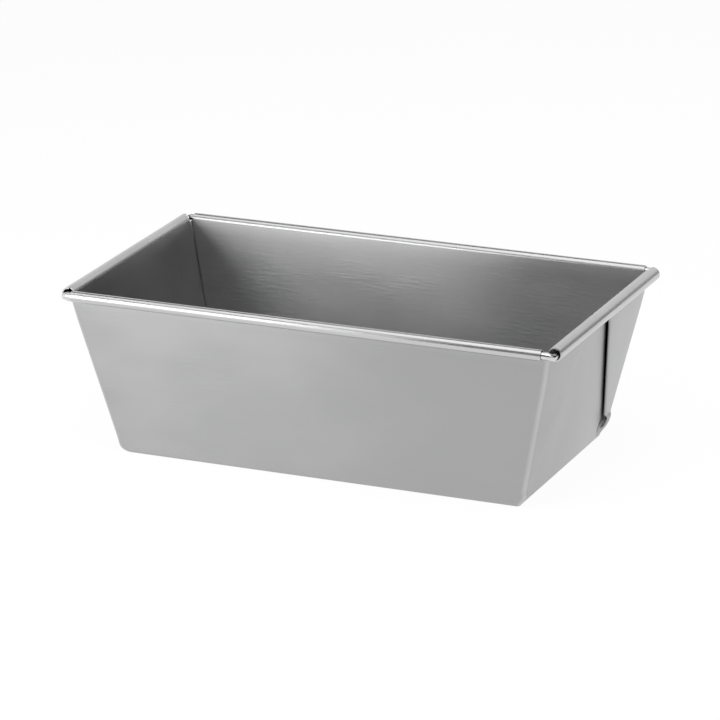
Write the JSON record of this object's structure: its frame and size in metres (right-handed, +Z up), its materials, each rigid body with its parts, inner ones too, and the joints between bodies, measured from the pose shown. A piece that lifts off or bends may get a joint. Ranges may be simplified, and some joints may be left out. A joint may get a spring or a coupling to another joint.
{
  "type": "mini loaf pan",
  "caption": "Small rectangular loaf pan folded from plated steel sheet, with outward-leaning walls, pleated corners on the ends and a rolled rim over a wire.",
  "frame": {"origin": "middle of the pan's underside, on the table", "axes": "+X along the pan's length, +Y across it, +Z up; the side that the picture shows in front is -Y"},
  "size_m": [0.1538, 0.0838, 0.0506],
  "materials": {
    "satin_plate": "satin tin plate",
    "bright_wire": "bright drawn wire"
  },
  "bodies": {
    "root": {"folded_pan": "satin_plate", "rim_wire": "bright_wire"}
  },
  "joints": []
}
